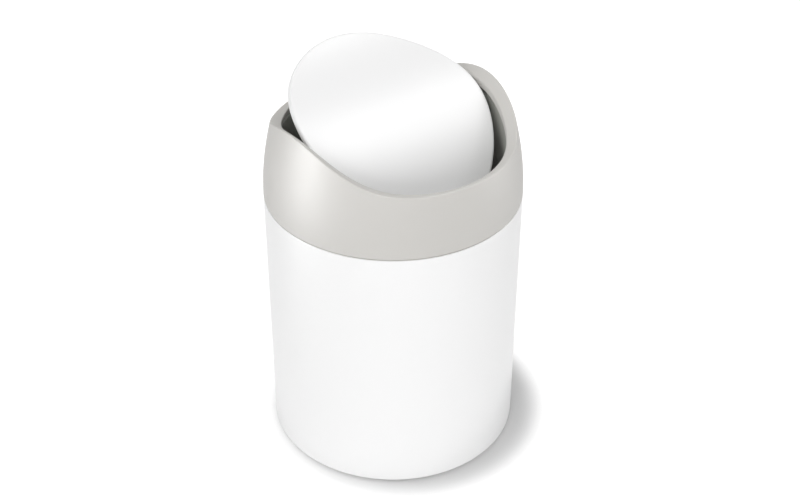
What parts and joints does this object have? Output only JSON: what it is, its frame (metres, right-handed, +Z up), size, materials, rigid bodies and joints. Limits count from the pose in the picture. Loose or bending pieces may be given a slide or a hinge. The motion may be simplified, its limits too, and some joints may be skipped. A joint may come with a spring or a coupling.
{
  "type": "countertop trash can with swing lid",
  "caption": "Countertop trash can with a white steel body, a grey saddle-rimmed collar that lifts off and an oval lid that swings on a rod.",
  "frame": {"origin": "middle of the base, on the plane of the worktop that it stands on", "axes": "+Z up; +X along the lid's pivot line, to the right seen from the front; the front is towards -Y, where the lid's lowered end is"},
  "size_m": [0.122, 0.122, 0.1915],
  "materials": {
    "white_steel": "gloss powder coat",
    "floor_steel": "satin",
    "collar_plastic": "satin",
    "liner_plastic": "satin",
    "white_plastic": "satin",
    "base_plastic": "satin",
    "block_plastic": "satin",
    "bush_plastic": "satin",
    "rubber": "matte",
    "rod_steel": "polished",
    "weight_steel": "zinc plated"
  },
  "bodies": {
    "bin": {"body_shell": "white_steel", "base_pan": "floor_steel", "base_ring": "base_plastic", "foot_pads": "rubber"},
    "collar": {"collar_shell": "collar_plastic", "collar_liner": "liner_plastic", "bearing_left": "block_plastic", "bearing_right": "block_plastic", "bush_left": "bush_plastic", "bush_right": "bush_plastic", "bumpers_left": "rubber", "bumpers_right": "rubber"},
    "lid": {"lid_panel": "white_steel", "lid_frame": "white_plastic", "pivot_rod": "rod_steel", "rod_clip_left": "rod_steel", "rod_clip_right": "rod_steel", "counterweight": "weight_steel", "weight_cover": "white_plastic", "cover_screws": "rod_steel"}
  },
  "joints": [
    {"name": "collar_lift", "type": "slide", "parent": "bin", "child": "collar", "axis": [0, 0, 1], "range_m": [0, 0.06]},
    {"name": "lid_swing", "type": "hinge", "parent": "collar", "child": "lid", "pos_m": [0, 0, 0.166], "axis": [1, 0, 0], "range_deg": [-108, 42]}
  ]
}
